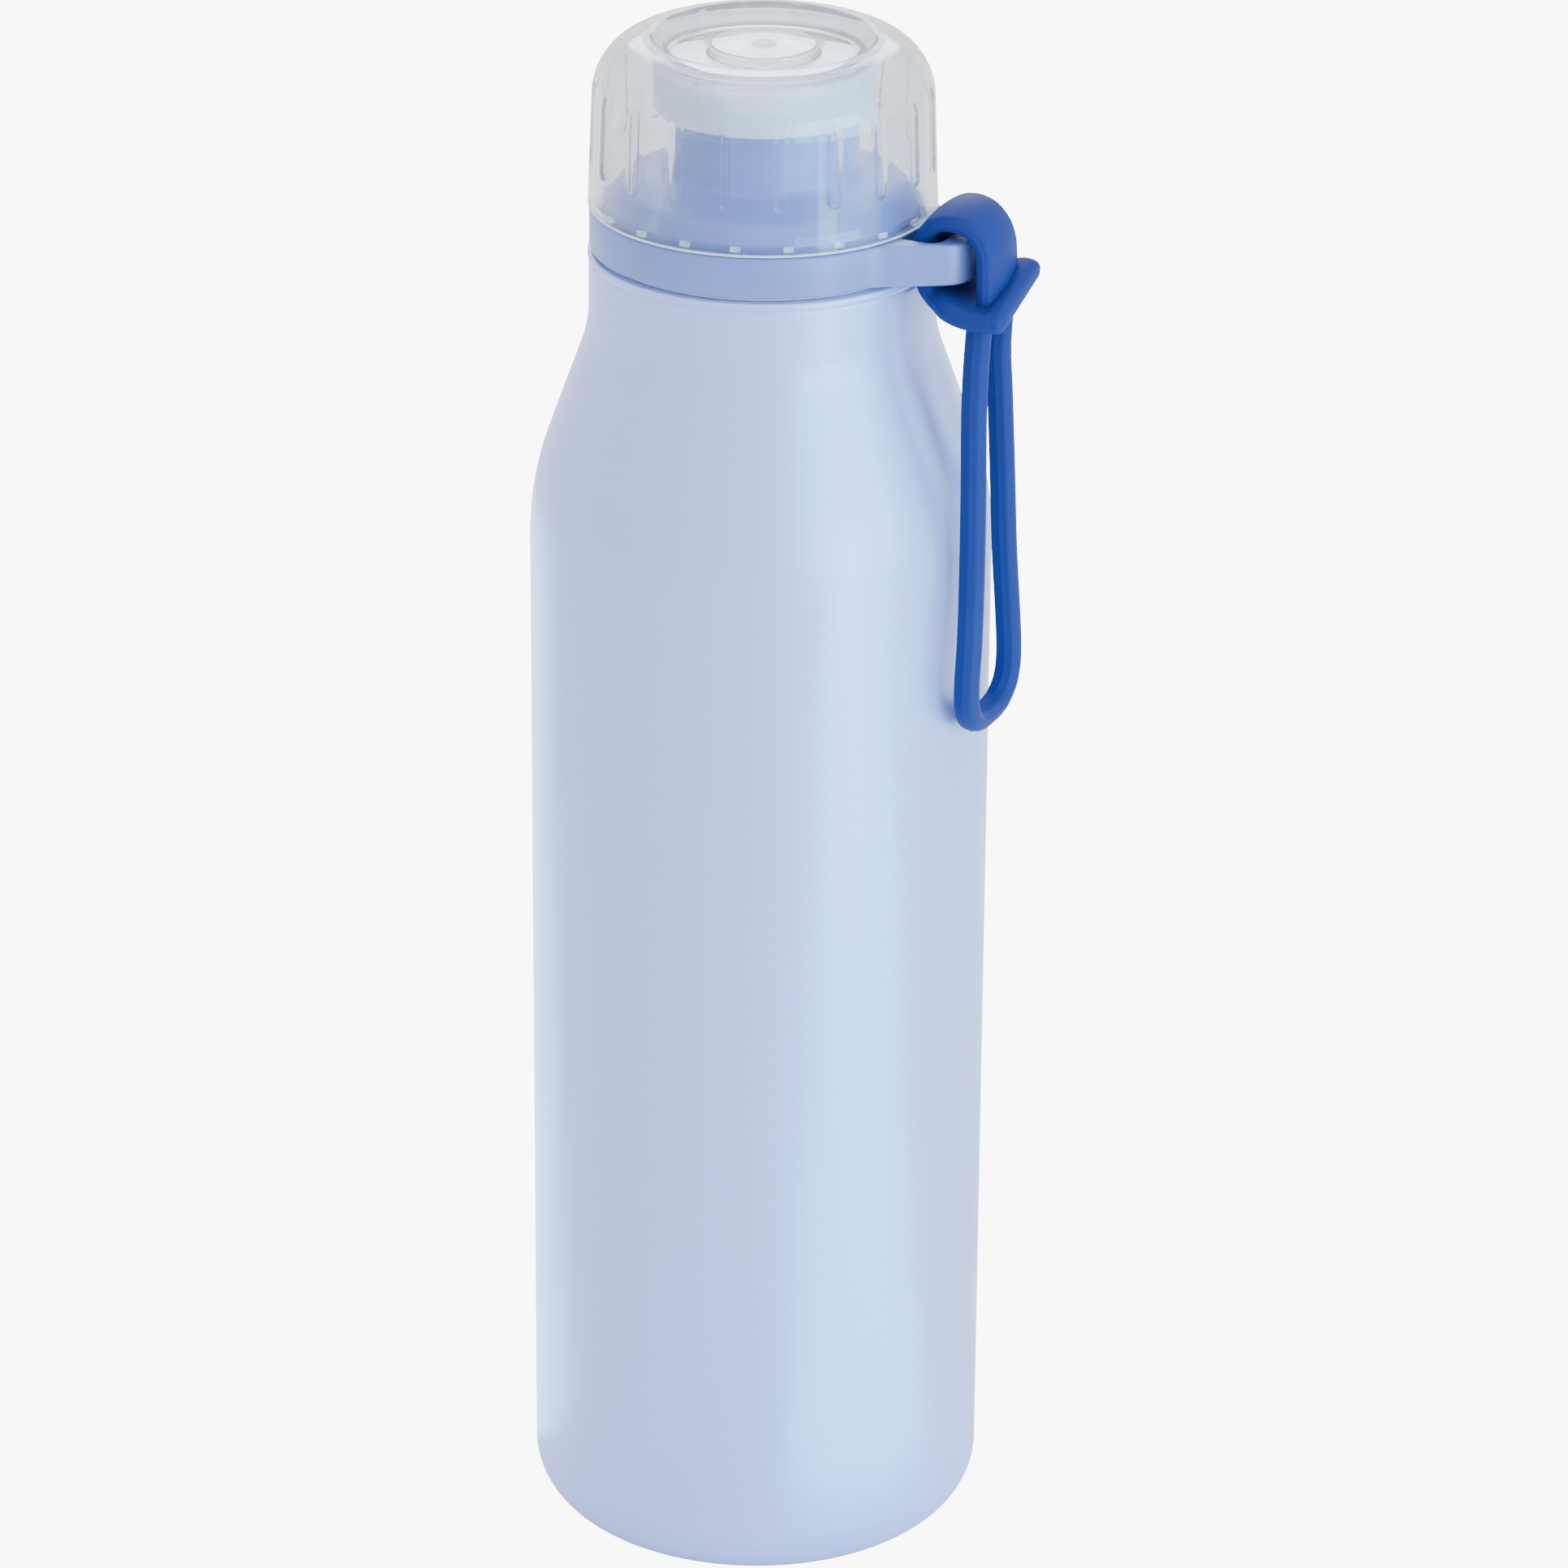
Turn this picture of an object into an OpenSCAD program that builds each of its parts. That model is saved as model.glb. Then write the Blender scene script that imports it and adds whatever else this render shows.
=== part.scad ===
// Drinking bottle with a screw-in lid, a swivelling carry collar, a clear screw-on overcap
// and a looped silicone carry strap.
// Frame: origin on the bottle's axis in the plane it stands on, +Z up, the collar's lug along +X.
// Every dimension is in millimetres.

/* [Bottle] */
// Outside diameter of the straight wall
body_d = 73; // [72:0.5:74]
// Height where the straight wall turns into the shoulder
wall_top = 170; // [168:1:171]
// Metal thickness of the wall
wall = 1.0; // [0.8:0.1:1.3]
// Radius between the wall and the foot
foot_r = 9.4; // [8:0.1:10]
// Rise of the pushed-up base at its middle
push_up = 4.5; // [3:0.5:6]
// Outside diameter of the neck
neck_d = 54.2; // [54:0.1:54.4]
// Height of the neck's rolled lip
lip_z = 217.6; // [217.5:0.1:217.7]

/* [Lid threads] */
// Rise of the lid for one full turn
lid_lead = 12; // [12:0.5:13]
// Rise of the clear cap for one full turn
cap_lead = 9; // [9:0.5:10]

/* [Collar] */
// Outside diameter of the collar
collar_d = 54; // [53.8:0.1:54]
// Reach of the lug's tip from the bottle's axis
lug_tip = 36.4; // [36.3:0.1:36.5]
// Thickness of the lug's outer bar
bar_t = 4.2; // [4:0.1:4.3]

/* [Clear cap] */
// Outside diameter of the cap at its rim
cap_d = 54.4; // [54:0.1:54.5]
// Thickness of the cap's wall
cap_wall = 1.6; // [1.2:0.1:1.8]
// Number of grip flutes round the cap
flutes = 20; // [16:1:24]
// Depth of a grip flute
flute_depth = 0.45; // [0.3:0.05:0.6]

/* [Strap] */
// Width of the strap where it wraps the lug's bar
band_w = 11; // [10:0.5:11]
// Width of each leg of the hanging loop, seen from the front
leg_w = 3.5; // [3:0.1:4]
// Thickness of each leg, seen from the side
leg_t = 3.8; // [3.5:0.1:4]

/* [Hidden] */
$fn = 96;

body_r = body_d / 2;
neck_r = neck_d / 2;
neck_bore = 24.6;            // inside of the neck, where the lid screws in
lid_starts = 3;
cap_starts = 3;
lid_pitch = lid_lead / lid_starts;
cap_pitch = cap_lead / cap_starts;

collar_r = collar_d / 2;
collar_lo = 218.2;
collar_hi = 224.8;

rim_z = 225.0;
cap_r = cap_d / 2;
cap_r2 = cap_r - 0.65;       // the cap narrows a little up to its shoulder
shoulder_z = 242.4;
cap_top = 251.9;
dish_r = 16.6;
dish_z = 249.2;
sleeve_r = 15.8;

bar_x = 34.3;                // axis the strap swings about, inside the lug's bar
bar_z = 222.1;

body_blue = [0.74, 0.79, 0.88];
violet = [0.56, 0.62, 0.80];
clear = [0.80, 0.83, 0.86, 0.4];
seal_white = [0.88, 0.90, 0.92];
strap_blue = [0.16, 0.31, 0.66];

// points along an arc about c, from angle a0 to a1
function arc(c, r, a0, a1, n = 8) =
    [for (i = [0 : n]) let (a = a0 + (a1 - a0) * i / n) c + r * [cos(a), sin(a)]];
// the same for a quarter of an ellipse
function ell(c, rx, ry, a0, a1, n = 8) =
    [for (i = [0 : n]) let (a = a0 + (a1 - a0) * i / n) c + [rx * cos(a), ry * sin(a)]];
// a smooth run of points through the hand-set ones
function cr(p0, p1, p2, p3, t) =
    0.5 * (2 * p1 + (p2 - p0) * t + (2 * p0 - 5 * p1 + 4 * p2 - p3) * t * t
           + (3 * p1 - p0 - 3 * p2 + p3) * t * t * t);
function smooth(p, k) =
    let (n = len(p))
    concat([for (i = [0 : n - 2]) for (j = [0 : k - 1])
        cr(p[max(i - 1, 0)], p[i], p[i + 1], p[min(i + 2, n - 1)], j / k)], [p[n - 1]]);

// One raised ridge of a multi-start thread: it climbs round the axis from angle a0 through span.
module ridge(r_root, r_crest, z0, a0, span, lead, thick) {
    steps = ceil(span / 10);
    s = [[r_root, -thick / 2], [r_crest, -thick / 4], [r_crest, thick / 4], [r_root, thick / 2]];
    pts = [for (i = [0 : steps]) let (a = span * i / steps) for (q = s)
        [q[0] * cos(a0 + a), q[0] * sin(a0 + a), z0 + lead * a / 360 + q[1]]];
    out = r_crest > r_root;
    side = [for (i = [0 : steps - 1]) for (j = [0 : 3]) let (k = (j + 1) % 4)
        [i * 4 + j, i * 4 + k, (i + 1) * 4 + k, (i + 1) * 4 + j]];
    ends = [[3, 2, 1, 0], [for (j = [0 : 3]) steps * 4 + j]];
    all = concat(side, ends);
    polyhedron(pts, out ? all : [for (f = all) [for (m = [len(f) - 1 : -1 : 0]) f[m]]], convexity = 6);
}
module ridges(starts, r_root, r_crest, z0, a0, span, lead, thick)
    for (i = [0 : starts - 1])
        ridge(r_root, r_crest, z0, a0 + 360 / starts * i, span, lead, thick);

// ---- bottle_body: drawn aluminium bottle with a pushed-up base and a rolled neck lip

shoulder_c = [body_r - 50, wall_top];
module bottle_body() {
    outer = concat(
        [[0, push_up], [8, push_up - 0.5], [16, push_up - 2.0], [21, 1.2], [24.2, 0]],
        arc([body_r - foot_r, foot_r], foot_r, -90, 0, 8),
        arc(shoulder_c, 50, 0, 19.6, 6),
        arc([48.1, 208.64], 21, 199.6, 180.6, 6),
        [[neck_r, lip_z - 1], [neck_r - 0.3, lip_z - 0.3], [neck_r - 1, lip_z]]);
    inner = concat(
        [[neck_bore, lip_z], [neck_bore, 207]],
        arc([48.1, 208.64], 21 + 1.5, 183, 199.6, 6),
        arc(shoulder_c, 50 - wall, 19.6, 0, 6),
        arc([body_r - foot_r, foot_r], foot_r - wall, 0, -80, 8),
        [[24.2, 1.3], [21, 2.4], [16, push_up - 0.8], [8, push_up + 0.6], [0, push_up + 1.1]]);
    color(body_blue) union() {
        rotate_extrude() polygon(concat(outer, inner));
        ridges(lid_starts, neck_bore + 0.5, 23.6, 210.0, 0, 100, lid_lead, 1.7);
    }
}

// ---- neck_gasket: flat silicone ring between the neck's lip and the plug's flange

module neck_gasket() color(seal_white)
    translate([0, 0, lip_z + 0.05]) difference() {
        cylinder(r = 25.7, h = 0.7);
        translate([0, 0, -1]) cylinder(r = 23.7, h = 3);
    }

// ---- threaded_plug: the lower half of the lid, which screws into the neck

module threaded_plug() color(violet) union() {
    rotate_extrude() polygon([
        [21.7, 206.5], [22.9, 206.5], [23.3, 207.0], [23.3, 218.4], [25.5, 218.4],
        [25.8, 218.7], [25.8, 219.8], [20.3, 219.8], [20.3, 223.6], [20.0, 224.0],
        [18.8, 224.0], [18.8, 219.2], [21.7, 218.0]]);
    ridges(lid_starts, 22.9, 24.4, 210.0 + lid_pitch / 2, 0, 100, lid_lead, 1.7);
}

// ---- lid_dome: domed cover pushed down over the plug's spigot; the spout grows out of its middle

spout_foot = 231.0;          // level where the dome ends and the straight spout starts
foot_bend = asin((232.3 - spout_foot) / 2.15);
module lid_dome() color(violet)
    rotate_extrude() polygon(concat(
        [[20.4, 219.9], [22.4, 219.9], [22.4, 223.8], [24.3, 223.8], [24.3, 225.9], [23.9, 226.5]],
        [[22.9, 227.8], [21.5, 228.9], [19.4, 229.7], [17.2, 230.2]],
        arc([17.0, 232.3], 2.15, -90, foot_bend - 180, 3),
        [[13.05, spout_foot], [13.6, 229.6], [15.2, 228.6], [18.2, 227.8], [20.0, 226.6], [20.4, 225.6]]));

// ---- spout: wide drinking spout with a rounded rim and an outer thread for the cap

module spout() color(violet) union() {
    rotate_extrude() polygon(concat(
        [[13.05, spout_foot]],
        arc([17.0, 232.3], 2.15, foot_bend - 180, -180, 2),
        [[14.85, 244.6]],
        arc([13.95, 244.5], 0.9, 0, 180, 6)));
    ridges(cap_starts, 14.5, 15.6, 241.0, 30, 80, cap_lead, 1.3);
}

// ---- carry_collar: swivelling ring with a slotted lug that the strap is hitched to

function lug_half() =
    let (d = [cos(30.1), sin(30.1)], nn = [d[1], -d[0]],
         knee = [33.8, -6.3], fr = 8,
         h = nn * knee + fr, c = h * nn + sqrt((collar_r + fr) * (collar_r + fr) - h * h) * d,
         a = atan2(-c[1], -c[0]), b = atan2(-nn[1], -nn[0]),
         tr = (lug_tip - knee[0]) / (1 - sin(30.1)))
    concat([[0, -collar_r + 2]], arc(c, fr, a, b, 5),
        arc(knee + tr * [-d[1], d[0]], tr, -59.9, 0, 6));
module lug_outline() {
    h = lug_half();
    polygon(concat(h, [for (i = [len(h) - 1 : -1 : 0]) [h[i][0], -h[i][1]]]));
}
// rounds one long edge of the bar off to radius r: quadrant q counts from +X+Z anticlockwise
module edge_cut(x, z, q, r) {
    sx = (q == 0 || q == 3) ? 1 : -1;
    sz = (q == 0 || q == 1) ? 1 : -1;
    translate([x - sx * r, 0, z - sz * r]) difference() {
        translate([sx > 0 ? 0 : -r - 2, -5.85, sz > 0 ? 0 : -r - 2]) cube([r + 2, 11.7, r + 2]);
        rotate([90, 0, 0]) cylinder(r = r, h = 20, center = true, $fn = 48);
    }
}
module carry_collar() {
    bar_in = lug_tip - bar_t;
    slot = concat([[20, -5.9]], arc([bar_in - 2, -3.9], 2, -90, 0, 5),
                  arc([bar_in - 2, 3.9], 2, 0, 90, 5), [[20, 5.9]]);
    color(violet) difference() {
        union() {
            difference() {
                translate([0, 0, collar_lo]) linear_extrude(collar_hi - collar_lo) lug_outline();
                translate([0, 0, collar_lo - 1]) linear_extrude(20) polygon(slot);
                edge_cut(lug_tip, collar_hi, 0, 1);
                edge_cut(lug_tip, collar_lo, 3, 1);
                edge_cut(bar_in, collar_hi, 1, 1);
                edge_cut(bar_in, collar_lo, 2, 1);
            }
            difference() {
                rotate_extrude() polygon([
                    [20, collar_lo], [collar_r - 0.4, collar_lo], [collar_r, collar_lo + 0.4],
                    [collar_r, collar_hi - 0.4], [collar_r - 0.4, collar_hi], [20, collar_hi]]);
                translate([0, 0, collar_lo - 1]) difference() {
                    linear_extrude(20) polygon(slot);
                    translate([0, 0, -1]) cylinder(r = 26.75, h = 30);
                }
            }
        }
        translate([0, 0, collar_lo - 1]) cylinder(r = 26.0, h = 2.8);
        translate([0, 0, collar_lo - 1]) cylinder(r = 22.48, h = 20);
        translate([0, 0, 223.6]) cylinder(r = 24.6, h = 5);
    }
}

// ---- clear_cap: transparent overcap with a threaded inner sleeve and a dished top

module clear_cap() {
    dome = ell([cap_r2 - 9.95, shoulder_z], 9.95, cap_top - shoulder_z, 0, 90, 9);
    under = ell([cap_r2 - 9.95, shoulder_z], 9.95 - cap_wall, cap_top - shoulder_z - cap_wall, 0, 84, 8);
    color(clear) difference() {
        union() {
            rotate_extrude() polygon(concat(
                [[cap_r - cap_wall, rim_z], [cap_r - 0.3, rim_z], [cap_r, rim_z + 0.4]],
                dome,
                [[16.2, 251.7], [15.1, 249.6], [14.4, dish_z],
                 [8.7, dish_z], [8.3, dish_z + 0.4], [8.0, 250.5], [7.6, 250.7],
                 [1.6, 250.7], [1.0, 250.2], [0, 250.1],
                 [0, 247.4], [sleeve_r, 247.4], [sleeve_r, 240.8], [16.1, 240.5], [16.9, 240.5], [17.1, 240.8],
                 [17.1, 249.4]],
                [for (i = [len(under) - 1 : -1 : 0]) under[i]]));
            ridges(cap_starts, sleeve_r + 0.4, 15.05, 241.0 + cap_pitch / 2, 30, 80, cap_lead, 1.3);
            for (i = [0 : 19]) rotate([0, 0, 18 * i + 16]) translate([25.1, -0.75, rim_z + 0.5])
                cube([0.8, 1.5, 0.8]);
        }
        // shallow grip flutes with round ends, leaning in with the wall
        for (i = [0 : flutes - 1]) rotate([0, 0, 360 / flutes * i + 13.4])
            translate([cap_r - 0.30 + 1.35 - flute_depth, 0, 233.2]) rotate([0, -2.13, 0])
                rotate_extrude($fn = 32) polygon(concat(
                    [[0, -1.35]], arc([0, 0], 1.35, -72, 0, 4), arc([0, 10.4], 1.35, 0, 72, 4), [[0, 11.75]]));
    }
}

// ---- cap_seal: soft disc in the roof of the cap's sleeve, which closes the spout

module cap_seal() color(seal_white)
    translate([0, 0, 245.5]) cylinder(r = 14.95, h = 1.8);

// ---- carry_strap: moulded silicone strap, hitched round the lug's bar and hanging as a loop

function unit(v) = v / norm(v);
function at(v, i) = is_list(v) ? v[i] : v;
// sweeps a rounded section, w wide along its side direction and t thick across it, along a path;
// side, w and t are single values or one for each point
module ribbon(path, side, w, t) {
    n = len(path);
    sides = 12;
    pts = [for (i = [0 : n - 1])
        let (q = unit(path[min(i + 1, n - 1)] - path[max(i - 1, 0)]),
             v = unit(cross(q, is_list(side[0]) ? side[i] : side)), u = unit(cross(v, q)))
        for (j = [0 : sides - 1]) let (c = cos(j * 360 / sides + 15), s = sin(j * 360 / sides + 15))
            path[i] + at(w, i) / 2 * sign(c) * pow(abs(c), 0.6) * u
                    + at(t, i) / 2 * sign(s) * pow(abs(s), 0.6) * v];
    skin = [for (i = [0 : n - 2]) for (j = [0 : sides - 1]) let (k = (j + 1) % sides)
        [i * sides + j, (i + 1) * sides + j, (i + 1) * sides + k, i * sides + k]];
    ends = [[for (j = [0 : sides - 1]) j], [for (j = [sides - 1 : -1 : 0]) (n - 1) * sides + j]];
    polyhedron(pts, concat(skin, ends), convexity = 8);
}

// the eye: a thick plate that starts as the strap's end in the slot, widens under the lug and
// sags a little towards one side; each row is x, z, width, thickness, sag per mm across
plate = [[28.9, 220.0, 10.4, 2.6, 0], [29.1, 218.0, 10.4, 2.7, 0], [29.9, 216.3, 10.8, 3.0, 0.02],
         [31.4, 215.4, 12.4, 3.5, 0.04], [33.6, 215.0, 15.0, 3.7, 0.08], [36.6, 214.9, 16.6, 3.8, 0.15],
         [39.6, 214.9, 17.0, 3.8, 0.20], [41.9, 215.2, 16.6, 3.7, 0.25], [43.1, 215.4, 15.4, 3.0, 0.27],
         [43.6, 215.5, 14.2, 1.6, 0.28]];
// one leg of the hanging loop, down to the middle of its bend
leg = [[38.7, -4.0, 214.4], [38.4, -4.3, 206], [38.5, -5.0, 198], [38.9, -5.6, 185], [39.2, -6.3, 172],
       [39.5, -7.4, 161], [39.5, -8.2, 154], [39.4, -7.6, 149.8], [39.2, -5.4, 147.2], [39.1, -2.7, 146.3]];
loop = concat(leg, [[39.1, 0, 146.2]], [for (i = [len(leg) - 1 : -1 : 0]) [leg[i][0], -leg[i][1], leg[i][2]]]);

module carry_strap() color(strap_blue) union() {
    // the wrap round the bar, crowned across its width and a little fuller on its +Y side
    h = band_w / 2;
    translate([bar_x, 0, bar_z]) rotate([90, 0, 0]) rotate_extrude(angle = 214, start = -8, $fn = 64)
        polygon([[4.6, -h], [6.5, -h], [7.1, 0.6 - h], [7.45, 1.4 - h], [7.25, 0], [7.0, h - 1.4],
                 [6.7, h - 0.6], [6.3, h], [4.6, h], [4.35, h - 0.5], [4.35, 0.5 - h]]);
    ribbon([for (p = plate) [p[0], 0, p[1]]], [for (p = plate) [0, 1, p[4]]],
           [for (p = plate) p[2]], [for (p = plate) p[3]]);
    // from the wrap down the outside and through the eye, to where the legs part
    ribbon([[39.9, 0, 222.4], [40.0, 0, 219.0], [39.9, 0, 215.5], [39.6, 0, 212.4]], [0, 1, 0], 10.8, 2.7);
    ribbon(smooth(loop, 3), [1, 0, 0], leg_t, leg_w);
}

bottle_body();
neck_gasket();
threaded_plug();
lid_dome();
spout();
carry_collar();
clear_cap();
cap_seal();
carry_strap();
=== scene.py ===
import math

import bmesh
import bpy
from mathutils import Matrix, Vector


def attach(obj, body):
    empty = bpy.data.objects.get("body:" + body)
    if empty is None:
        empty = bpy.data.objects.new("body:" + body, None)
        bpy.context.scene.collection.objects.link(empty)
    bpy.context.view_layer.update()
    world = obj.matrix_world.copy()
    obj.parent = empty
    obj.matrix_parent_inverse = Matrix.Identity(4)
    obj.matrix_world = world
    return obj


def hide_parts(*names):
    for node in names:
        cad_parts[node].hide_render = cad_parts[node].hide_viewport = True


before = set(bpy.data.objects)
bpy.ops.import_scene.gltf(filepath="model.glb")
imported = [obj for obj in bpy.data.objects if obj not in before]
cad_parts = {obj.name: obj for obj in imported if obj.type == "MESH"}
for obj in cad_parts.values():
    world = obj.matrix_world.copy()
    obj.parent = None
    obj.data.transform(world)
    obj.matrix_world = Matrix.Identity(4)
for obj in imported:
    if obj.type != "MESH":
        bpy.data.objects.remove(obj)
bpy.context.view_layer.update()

# ---- camera
# A long lens a little over a metre away, looking down on the bottle, with the lug towards its right.
azimuth = math.radians(25.0)
tilt = math.radians(23.26)
roll = math.radians(0.431)
right = Vector((math.cos(azimuth), math.sin(azimuth), 0))
back = Vector((math.sin(azimuth) * math.cos(tilt), -math.cos(azimuth) * math.cos(tilt), math.sin(tilt)))
aim = right * 0.003944 + Vector((0, 0, 0.126665))
above = back.cross(right)
right_rolled = right * math.cos(roll) + above * math.sin(roll)
above_rolled = above * math.cos(roll) - right * math.sin(roll)

lens = bpy.data.cameras.new("lens")
lens.sensor_width = 36.0
lens.lens = 164.49
lens.clip_start, lens.clip_end = 0.05, 20.0
camera = bpy.data.objects.new("camera", lens)
turn = Matrix((right_rolled, above_rolled, back)).transposed().to_4x4()
distance = 1.150
camera.matrix_world = Matrix.Translation(aim + back * distance) @ turn
bpy.context.scene.collection.objects.link(camera)
bpy.context.scene.camera = camera

# ---- floor and light
# A white sweep, lit evenly from all round, that shows as plain white behind the bottle. Soft boxes fill the
# shadows, and cards that are seen only as reflections draw the upright glints on the metal.


def start_finish(material):
    """Empties the material's node tree, puts a Principled shader in it, and returns both."""
    material.use_nodes = True
    tree = material.node_tree
    tree.nodes.clear()
    out = tree.nodes.new("ShaderNodeOutputMaterial")
    shader = tree.nodes.new("ShaderNodeBsdfPrincipled")
    tree.links.new(shader.outputs[0], out.inputs["Surface"])
    return tree, shader


def brighter_to_camera(tree, lit, glow, out):
    """Gives the camera's own rays the glow, and light and reflections the lit shader."""
    path = tree.nodes.new("ShaderNodeLightPath")
    choice = tree.nodes.new("ShaderNodeMixShader")
    tree.links.new(path.outputs["Is Camera Ray"], choice.inputs["Fac"])
    tree.links.new(lit.outputs[0], choice.inputs[1])
    tree.links.new(glow.outputs[0], choice.inputs[2])
    tree.links.new(choice.outputs[0], out.inputs["Surface"])


def put_in_scene(name, mesh):
    """Puts a mesh in the scene as an object."""
    thing = bpy.data.objects.new(name, mesh)
    bpy.context.scene.collection.objects.link(thing)
    return thing


sweep = bpy.data.meshes.new("sweep")
reach = 6.0
sweep.from_pydata([(-reach, -reach, 0), (reach, -reach, 0), (reach, reach, 0), (-reach, reach, 0)], [],
                  [(0, 1, 2, 3)])
floor = put_in_scene("floor", sweep)
backdrop_glow = 9.0
white_paper = bpy.data.materials.new("white_paper")
paper_tree, paper = start_finish(white_paper)
paper.inputs["Base Color"].default_value = (0.90, 0.90, 0.90, 1)
paper.inputs["Roughness"].default_value = 0.9
paper.inputs["Specular IOR Level"].default_value = 0.0
paper_glow = paper_tree.nodes.new("ShaderNodeEmission")
paper_glow.inputs["Strength"].default_value = backdrop_glow
brighter_to_camera(paper_tree, paper, paper_glow, paper_tree.nodes["Material Output"])
sweep.materials.append(white_paper)

room = bpy.data.worlds.new("room")
bpy.context.scene.world = room
room.use_nodes = True
room_tree = room.node_tree
soft_light = room_tree.nodes["Background"]
soft_light.inputs["Color"].default_value = (1.0, 1.0, 1.0, 1)
soft_light.inputs["Strength"].default_value = 1.72
room_glow = room_tree.nodes.new("ShaderNodeBackground")
room_glow.inputs["Color"].default_value = (1.0, 1.0, 1.0, 1)
room_glow.inputs["Strength"].default_value = backdrop_glow
brighter_to_camera(room_tree, soft_light, room_glow, room_tree.nodes["World Output"])
middle_of_bottle = Vector((0, 0, 0.12))


def soft_box(name, bearing, height, distance, width, tall, power, colour):
    """A rectangular lamp that looks at the middle of the bottle: bearing is its angle round the bottle from
    +X in degrees, the lengths are in metres, the power is in watts and the colour is its tint."""
    lamp = bpy.data.lights.new(name, "AREA")
    lamp.shape = "RECTANGLE"
    lamp.size, lamp.size_y = width, tall
    lamp.energy = power
    lamp.color = colour
    thing = bpy.data.objects.new(name, lamp)
    angle = math.radians(bearing)
    thing.location = (distance * math.cos(angle), distance * math.sin(angle), height)
    away = Vector(thing.location) - middle_of_bottle
    thing.rotation_mode = "QUATERNION"
    thing.rotation_quaternion = away.to_track_quat("Z", "Y")
    bpy.context.scene.collection.objects.link(thing)
    return thing


# The right-hand light is a pair: one only fills, the other, wider, only draws the broad upright glint.
fill = soft_box("right_box", -9, 0.10, 1.1, 0.42, 1.2, 18.0, (0.36, 0.80, 1.0))
fill.visible_glossy = False
glint = soft_box("glint_box", -19, 0.10, 1.1, 1.0, 1.2, 25.0, (0.36, 0.80, 1.0))
glint.visible_diffuse = False
glint.visible_camera = False
near_glint = soft_box("near_glint_card", -22, 0.075, 0.09, 0.066, 0.16, 0.145, (0.28, 0.78, 1.0))
rim_card = soft_box("rim_card", 150, 0.07, 0.08, 0.12, 0.17, 0.21, (0.36, 0.85, 1.0))
for card in (near_glint, rim_card):
    card.visible_diffuse = False
    card.visible_camera = False
    card.visible_transmission = False
soft_box("top_box", -65, 1.5, 0.6, 1.0, 1.0, 6.0, (1.0, 1.0, 1.0))
soft_box("back_box", 115, 1.0, 1.6, 1.1, 0.6, 12.0, (0.92, 0.97, 1.0))
soft_box("low_card", -23, 0.06, 0.42, 0.09, 0.30, 0.4, (0.85, 0.95, 1.0))

# ---- bottle_body
# Impact-drawn aluminium, brushed round and dipped in a pale blue see-through lacquer. The base is pushed
# up so that only a foot ring stands on the table, and the neck ends in a rolled lip with a thread inside.
mm = 0.001


def arc(cx, cy, radius, start, end, steps):
    """Points along an arc, in millimetres, angles in degrees."""
    points = []
    for i in range(steps + 1):
        angle = math.radians(start + (end - start) * i / steps)
        points.append((cx + radius * math.cos(angle), cy + radius * math.sin(angle)))
    return points


def outline(corners, steps=5):
    """A closed outline through corners (across, up, radius), each corner rounded to its radius."""
    points = []
    count = len(corners)
    for i, (x, y, radius) in enumerate(corners):
        if radius == 0:
            points.append((x, y))
            continue
        here = Vector((x, y))
        before = (Vector(corners[i - 1][:2]) - here).normalized()
        after = (Vector(corners[(i + 1) % count][:2]) - here).normalized()
        half = before.angle(after) / 2
        middle = here + (before + after).normalized() * radius / math.sin(half)
        first = here + before * radius / math.tan(half) - middle
        last = here + after * radius / math.tan(half) - middle
        start = math.atan2(first.y, first.x)
        swing = (math.atan2(last.y, last.x) - start + math.pi) % (2 * math.pi) - math.pi
        for k in range(steps + 1):
            angle = start + swing * k / steps
            points.append((middle.x + radius * math.cos(angle), middle.y + radius * math.sin(angle)))
    return points


def plain(points):
    """The same points as sharp corners."""
    return [(x, y, 0) for x, y in points]


def lathe(name, profile, angles=None, shift=None, edge=35):
    """Spins a closed profile (radius, height), in millimetres, round the axis into a closed skin.
    shift(i, radius, height, angle) gives profile point i's radius at that angle."""
    if angles is None:
        angles = [360 * i / 192 for i in range(192)]
    form = bmesh.new()
    rings = []
    for i, (radius, height) in enumerate(profile):
        if radius < 1e-6:
            rings.append([form.verts.new((0, 0, height * mm))])
            continue
        ring = []
        for degrees in angles:
            r = shift(i, radius, height, degrees) if shift else radius
            a = math.radians(degrees)
            ring.append(form.verts.new((r * math.cos(a) * mm, r * math.sin(a) * mm, height * mm)))
        rings.append(ring)
    count = len(angles)
    for i, ring in enumerate(rings):
        other = rings[(i + 1) % len(rings)]
        if len(ring) == 1 and len(other) == 1:
            continue
        for j in range(count):
            k = (j + 1) % count
            if len(ring) == 1:
                form.faces.new((ring[0], other[j], other[k]))
            elif len(other) == 1:
                form.faces.new((ring[j], ring[k], other[0]))
            else:
                form.faces.new((ring[j], ring[k], other[k], other[j]))
    bmesh.ops.recalc_face_normals(form, faces=form.faces)
    mesh = bpy.data.meshes.new(name)
    form.to_mesh(mesh)
    form.free()
    mesh.shade_smooth()
    mesh.set_sharp_from_angle(angle=math.radians(edge))
    return put_in_scene(name, mesh)


def add_node(tree, kind, **values):
    """A node with its settings and the plain values of its inputs; an input's key may be a number."""
    node = tree.nodes.new(kind)
    for key, value in values.items():
        if hasattr(node, key):
            setattr(node, key, value)
        else:
            node.inputs[int(key[1:]) if key[0] == "i" and key[1:].isdigit() else key].default_value = value
    return node


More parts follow.
